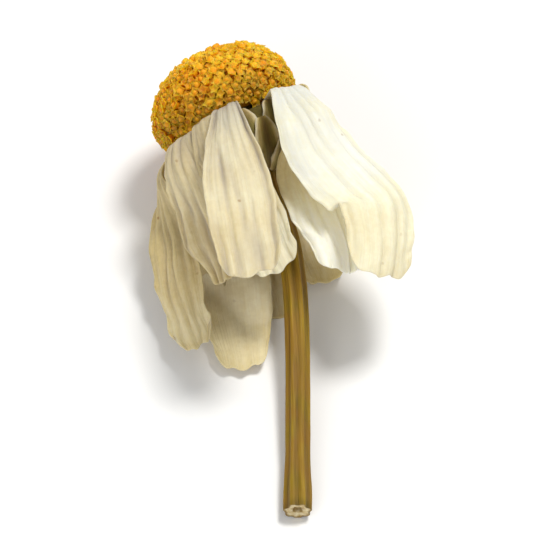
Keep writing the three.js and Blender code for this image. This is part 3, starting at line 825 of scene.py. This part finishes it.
def floret_template(rings, middle, lip):
    """Unit floret along Z, shaped from a ball whose rings become those given, with a sharp lip."""
    bm = bmesh.new()
    bmesh.ops.create_uvsphere(bm, u_segments=FLORET_SIDES, v_segments=len(rings) + 1, radius=1)
    for vert in bm.verts:
        polar = math.acos(max(-1, min(1, vert.co.z)))
        ring = round(polar / math.pi * (len(rings) + 1))
        if ring == 0:
            vert.co = (0, 0, middle)
        elif ring > len(rings):
            vert.co = (0, 0, 0)
        else:
            radius, height, lobe = rings[len(rings) - ring]
            round_angle = math.atan2(vert.co.y, vert.co.x)
            radius *= 1 + lobe * math.sin(FLORET_LOBES * round_angle)
            vert.co = (radius * math.cos(round_angle), radius * math.sin(round_angle), height)
    if lip is not None:
        for edge in bm.edges:
            edge.smooth = any(abs(vert.co.z - lip) > 0.01 for vert in edge.verts)
    mesh = bpy.data.meshes.new("floret_template")
    bm.to_mesh(mesh)
    bm.free()
    return mesh


def dome_point(polar, round_angle, radius, height):
    """Place and outward direction on the receptacle's dome."""
    place = Vector(
        (
            radius * math.sin(polar) * math.cos(round_angle),
            radius * math.sin(polar) * math.sin(round_angle),
            DISC_BASE + height * math.cos(polar),
        )
    )
    normal = Vector(
        (
            math.sin(polar) / radius * math.cos(round_angle),
            math.sin(polar) / radius * math.sin(round_angle),
            math.cos(polar) / height,
        )
    )
    return place, normal.normalized()


def disc_pieces(material, under):
    """The dome and its florets, in the golden-angle spiral. The outer ones have opened or withered."""
    random.seed(FLORET_SEED)
    radius, height = DISC_RADIUS - FLORET_RISE, DISC_HEIGHT - FLORET_RISE
    templates = {kind: floret_template(**shape) for kind, shape in FLORETS.items()}
    bm = bmesh.new()
    gold_and_shade = bm.verts.layers.float.new("gold_and_shade")
    olive = bm.verts.layers.float.new("olive")

    def plant(place, normal, kind, size, tone, green):
        first = len(bm.verts)
        bm.from_mesh(templates[kind])
        bm.verts.ensure_lookup_table()
        grown = bm.verts[first:]
        aim = normal.to_track_quat("Z", "Y") @ Quaternion((0, 0, 1), random.uniform(0, 2 * math.pi))
        length = FLORET_ROOT + FLORET_RISE * size
        broad = [FLORET_RADIUS * size * random.uniform(*FLORET_BREADTHS) for _ in range(2)]
        slant = random.uniform(-FLORET_SLANT, FLORET_SLANT)
        throat_shade = BUD_THROAT_SHADE if kind == "bud" else THROAT_SHADE
        for vert in grown:
            throat = 1 - rise(vert.co.xy.length, 0.5, 0.5)
            tube = 1 - smooth(vert.co.z * 1.3)
            # Painted shade: darker down the tube, between the florets, and in the throat.
            vert[gold_and_shade] = tone - TUBE_SHADE * tube - throat_shade * throat
            vert[olive] = green
            x, y = vert.co.x * broad[0], vert.co.y * broad[1]
            vert.co = (x, y, vert.co.z * (length + slant * x) - FLORET_ROOT)
        bmesh.ops.transform(bm, matrix=Matrix.Translation(place) @ aim.to_matrix().to_4x4(), verts=grown)

    lowest = math.radians(DISC_LOWEST)
    for i, polar in enumerate(even_polar_angles(FLORET_COUNT, radius, height, lowest)):
        place, normal = dome_point(polar, i * GOLDEN_ANGLE, radius, height)
        lean = Vector([random.uniform(-FLORET_LEAN, FLORET_LEAN) for _ in range(3)])
        opened = polar > math.radians(OPEN_FROM) + random.uniform(-OPEN_SPREAD, OPEN_SPREAD)
        kind = random.choice(("open", "open", "withered") if opened else ("bud", "bud", "bud", "withered"))
        size = random.uniform(*FLORET_SIZES) * (0.9 + 0.1 * smooth(polar))
        tone = GOLD + random.uniform(*GOLD_SPREAD) + GOLD_PATCHES * rough(*(place * 0.8), octaves=2)
        left = smooth(-place.x / radius)
        low = rise(math.degrees(polar), *OLIVE_LOW)
        green = min(low + OLIVE_LEFT * left, 1) * random.uniform(0.5, 1)
        # Olive florets are darker, partly their own colour and partly painted shade of the lower rim; the
        # left side of the disc is darker as painted shade.
        tone -= OLIVE_AND_SHADE_LOSS * green + LEFT_SHADE * left
        plant(place, (normal + lean).normalized(), kind, size, tone, green)
    bmesh.ops.transform(bm, matrix=HEAD_POSE, verts=bm.verts)
    shown_piece(bm, "florets", "disc_florets", material)

    profile = [(0, DISC_BASE + height * math.cos(lowest))]
    radius, height = radius + TUBE_FILL, height + TUBE_FILL
    for i in range(DISC_STEPS):
        polar = lowest * (1 - i / DISC_STEPS)
        profile.append((radius * math.sin(polar), DISC_BASE + height * math.cos(polar)))
    profile.append((0, DISC_BASE + height))
    dome = lathe(profile, DISC_SIDES)
    bmesh.ops.transform(dome, matrix=HEAD_POSE, verts=dome.verts)
    shown_piece(dome, "disc_dome", "disc_florets", under)


# ---------------------------------------------------------------- involucre


def cup_line(s):
    """Radius and height of the cup's outside, from the neck at s = 0 to the rim at s = 1."""
    lift = s * math.pi / 2
    return Vector(
        (
            CUP_NECK + (CUP_RADIUS - CUP_NECK) * math.sin(lift),
            -CUP_RIM - (CUP_DEPTH - CUP_RIM) * math.cos(lift),
        )
    )


def bract(bm, row, round_angle, seed):
    """Adds one bract: a narrow scale on the cup with a raised keel and thin wavy margins."""
    radial = Vector((math.cos(round_angle), math.sin(round_angle), 0))
    sideways = Vector((-math.sin(round_angle), math.cos(round_angle), 0))
    across, along = BRACT_GRID
    grown = bmesh.ops.create_grid(bm, x_segments=across, y_segments=along, size=1, calc_uvs=True)
    for vert in grown["verts"]:
        u, s = vert.co.x, (vert.co.y + 1) / 2
        at = mix(row["start"], row["end"], s)
        line = cup_line(at)
        slope = (cup_line(at + 0.01) - cup_line(at - 0.01)).normalized()
        normal = radial * slope.y - UPWARDS * slope.x
        arch = math.sqrt(math.sin(math.pi * (BRACT_OUTLINE[0] + BRACT_OUTLINE[1] * s)))
        breadth = arch * mix(BRACT_CLAW, 1, smooth(s / BRACT_OPEN_BY))
        torn = BRACT_TORN * rough(s * 9, seed * 3.1, 2 if u > 0 else 7) * smooth(abs(u) / 0.9)
        aside = u * row["width"] / 2 * breadth * (1 + torn)
        lift = row["lift"] * (BRACT_LIFT[0] + BRACT_LIFT[1] * s) * (1 - BRACT_DIP * u * u)
        keel = BRACT_KEEL * hump(u, 0, BRACT_KEEL_SPREAD) * (1 - s)
        wave = BRACT_WAVES * u * u * rough(s * 5, u * 1.5, seed * 1.7, 2)
        wrinkle = BRACT_WRINKLES * rough(u * 5, s * 1.5, seed * 2.3, 2)
        place = radial * (line.x - BRACT_TURN * aside * aside) + UPWARDS * line.y
        vert.co = place + sideways * aside + normal * (lift + keel + wave + wrinkle)


def involucre_pieces(material, under):
    """The cup with its receptacle, and the rows of bracts on it."""
    bm = bmesh.new()
    bm.loops.layers.uv.new("strap")
    for number, row in enumerate(BRACT_ROWS):
        for i in range(row["count"]):
            bract(bm, row, 2 * math.pi * (i + row["offset"]) / row["count"], i + 20 * number)
    bmesh.ops.transform(bm, matrix=HEAD_POSE, verts=bm.verts)
    thicken(shown_piece(bm, "bracts", "involucre", material), BRACT_THICKNESS)

    profile = [(0, -CUP_DEPTH)] + [tuple(cup_line(i / CUP_STEPS)) for i in range(CUP_STEPS + 1)]
    profile += [(SEAT_RADIUS, -CUP_RIM), (SEAT_RADIUS, SEAT_TOP), (0, SEAT_TOP)]
    cup = lathe(profile, CUP_SIDES)
    bmesh.ops.transform(cup, matrix=HEAD_POSE, verts=cup.verts)
    shown_piece(cup, "cup", "involucre", under)


# ---------------------------------------------------------------- stalk


def stalk_path():
    """Points of the stalk's mid-line, evenly spaced from the neck to the cut end."""
    start = HEAD_CENTRE - AXIS * (CUP_DEPTH - STEM_SUNK)
    end = HEAD_CENTRE + Vector((STEM_SHIFT, -STEM_REACH, 0))
    end.z = STEM_END_RADIUS
    leave = start - AXIS * STEM_LEAVE
    arrive = end + STEM_ARRIVE
    fine = 400
    curve = []
    for i in range(fine + 1):
        t = i / fine
        near = start * (1 - t) ** 3 + leave * 3 * t * (1 - t) ** 2
        curve.append(near + arrive * 3 * t * t * (1 - t) + end * t**3)
    length = [0.0]
    for a, b in zip(curve, curve[1:]):
        length.append(length[-1] + (b - a).length)
    points = []
    j = 0
    for i in range(STEM_STEPS + 1):
        wanted = i / STEM_STEPS * length[-1]
        while j < fine - 1 and length[j + 1] < wanted:
            j += 1
        points.append(curve[j].lerp(curve[j + 1], (wanted - length[j]) / (length[j + 1] - length[j])))
    return points


def stalk_piece(material):
    """The ribbed stalk, from the neck of the cup to its cut end."""
    points = stalk_path()
    bm = new_sheet(STEM_SIDES, STEM_STEPS)
    rib = bm.verts.layers.float.new("rib")
    pith = bm.verts.layers.float.new("pith")
    for vert in bm.verts:
        t = (vert.co.y + 1) / 2
        step = round(t * STEM_STEPS)
        along = (points[min(step + 1, STEM_STEPS)] - points[max(step - 1, 0)]).normalized()
        side = along.cross(UPWARDS).normalized()
        under = along.cross(side)
        turn = vert.co.x * math.pi + STEM_SPIRAL * t
        neck = 1 + STEM_NECK_GROWTH * (1 - rise(t, *STEM_NECK))
        flare = mix(STEM_RADIUS, STEM_END_RADIUS, rise(t, *STEM_FLARE))
        ridge = math.cos(STEM_RIBS * turn)
        streak = rough(math.cos(turn) * 3, math.sin(turn) * 3, t * 5)
        radius = flare * neck * (1 + STEM_RIB_DEPTH * ridge + STEM_STREAK_DEPTH * streak)
        vert.co = points[step] + side * radius * math.sin(turn) + under * radius * math.cos(turn)
        vert.co.z = max(vert.co.z, 0)
        darker = NECK_DARK * (1 - smooth(t / NECK_DARK_END)) + CUT_DARK * rise(t, *CUT_DARKENS)
        vert[rib] = STEM_LIGHT + RIB_LIGHT * ridge + STREAK_LIGHT * streak - darker
    bmesh.ops.remove_doubles(bm, verts=bm.verts, dist=MERGE)
    end = points[-1]
    rim = [e for e in bm.edges if e.is_boundary and (e.verts[0].co - end).length < 2 * STEM_END_RADIUS]
    inwards = (points[-2] - end).normalized()
    for edge in rim:
        edge.smooth = False
    reach = 1
    for share, depth, soft in CUT_RINGS:
        grown = bmesh.ops.extrude_edge_only(bm, edges=rim)["geom"]
        rim = [e for e in grown if isinstance(e, bmesh.types.BMEdge) and e.is_boundary]
        for vert in (v for v in grown if isinstance(v, bmesh.types.BMVert)):
            off = vert.co - end
            off -= inwards * off.dot(inwards)
            vert.co = end + off * (share / reach) + inwards * depth
            vert[pith] = soft
        reach = share
    rims = [e for e in bm.edges if e.is_boundary]
    bmesh.ops.holes_fill(bm, edges=rims, sides=0)
    bmesh.ops.recalc_face_normals(bm, faces=bm.faces)
    shown_piece(bm, "stalk", "stem", material)


# ---------------------------------------------------------------- stage


def make_camera():
    """Camera that looks at the flower from its stalk's end and from above."""
    data = bpy.data.cameras.new("camera")
    data.sensor_width = SENSOR_WIDTH
    data.lens = SENSOR_WIDTH * CAMERA_DISTANCE / VIEW_WIDTH
    data.clip_start = 0.001
    data.clip_end = 10
    camera = bpy.data.objects.new("camera", data)
    elevation = math.radians(VIEW_ELEVATION)
    back = Vector((0, -math.cos(elevation), math.sin(elevation)))
    camera.location = (VIEW_TARGET + back * CAMERA_DISTANCE) * MM
    camera.rotation_euler = (math.pi / 2 - elevation, 0, 0)
    bpy.context.scene.collection.objects.link(camera)
    bpy.context.scene.camera = camera


def soft_light(name, direction, size, power):
    """Square area light, its size in metres and its power in watts, that shines from a direction."""
    data = bpy.data.lights.new(name, "AREA")
    data.size = size
    data.energy = power
    light = bpy.data.objects.new(name, data)
    away = Vector(direction).normalized()
    light.location = (VIEW_TARGET + away * LIGHT_DISTANCE) * MM
    light.rotation_euler = away.to_track_quat("Z", "Y").to_euler()
    bpy.context.scene.collection.objects.link(light)


def make_stage():
    """Pale floor, a light from above, a weaker one from the front left, and an even pale surrounding."""
    bm = bmesh.new()
    bmesh.ops.create_grid(bm, x_segments=1, y_segments=1, size=2)
    mesh = bpy.data.meshes.new("floor")
    bm.to_mesh(mesh)
    bm.free()
    floor = bpy.data.objects.new("floor", mesh)
    material, _, shader = new_material("pale_floor", roughness=0.9, specular=0.1)
    shader.inputs["Base Color"].default_value = colour(0xF4F3F0)
    mesh.materials.append(material)
    bpy.context.scene.collection.objects.link(floor)
    world = bpy.data.worlds.new("studio")
    world.use_nodes = True
    sky = world.node_tree.nodes["Background"]
    sky.inputs["Color"].default_value = (0.95, 0.97, 1.0, 1.0)
    sky.inputs["Strength"].default_value = 0.48
    bpy.context.scene.world = world
    soft_light("key", (0.3, 0.24, 1.0), 0.07, 0.63)
    soft_light("fill", (-0.45, -0.8, 0.6), 0.2, 0.26)
    bpy.context.scene.view_settings.view_transform = "Standard"


make_camera()
make_stage()
ray_paper = ray_material()
for number, each in enumerate(RAYS):
    ray_piece(PLAIN_RAY | each, number, ray_paper)
disc_pieces(floret_material(), under_material("dry_receptacle", 0xF0A41A))
involucre_pieces(bract_material(), under_material("dry_cup", 0x6E5E28))
stalk_piece(stalk_material())
